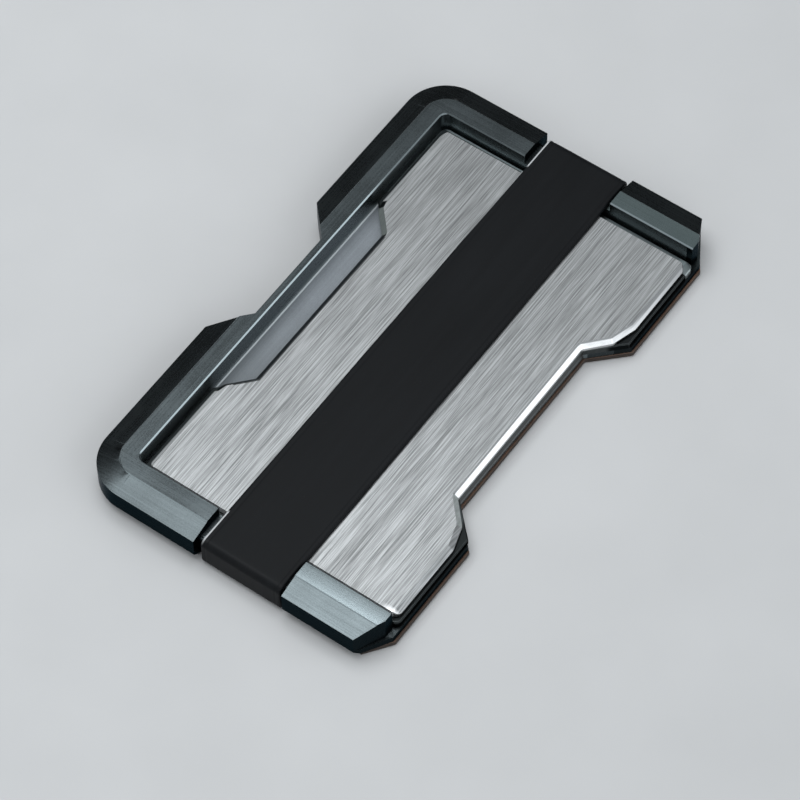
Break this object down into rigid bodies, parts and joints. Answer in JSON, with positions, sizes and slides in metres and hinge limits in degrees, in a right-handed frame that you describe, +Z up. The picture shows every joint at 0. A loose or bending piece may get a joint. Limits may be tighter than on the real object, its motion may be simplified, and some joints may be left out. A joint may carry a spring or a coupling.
{
  "type": "minimalist wallet",
  "caption": "Slim metal card wallet: an open-sided aluminium tray holds cards under a steel cover plate clamped by a wide elastic band, with leather leaves screwed on the back.",
  "frame": {"origin": "centre of the bounding box's bottom face, on the face the wallet rests on", "axes": "+Z up out of the cover plate, +Y along the wallet's length, +X towards the open long side where the cards come out"},
  "size_m": [0.0592, 0.101, 0.0076],
  "materials": {
    "anodised": "dark grey anodised, machined",
    "liner_steel": "satin",
    "brushed_plate": "brushed along the length, bright bevel",
    "band_rubber": "satin black elastic",
    "leather_brown": "smooth brown leather",
    "screw_steel": "black oxide"
  },
  "bodies": {
    "tray": {"chassis": "anodised", "liner_plate": "liner_steel", "elastic_band": "band_rubber", "backing_left": "leather_brown", "backing_right": "leather_brown", "backing_screws": "screw_steel"},
    "cover": {"cover_plate": "brushed_plate"}
  },
  "joints": [
    {"name": "cover_lift", "type": "slide", "parent": "tray", "child": "cover", "axis": [0, 0, 1], "range_m": [0, 0.003], "stiffness_N_per_m": 900, "springref_m": -0.004, "deforming": ["elastic_band"]}
  ]
}
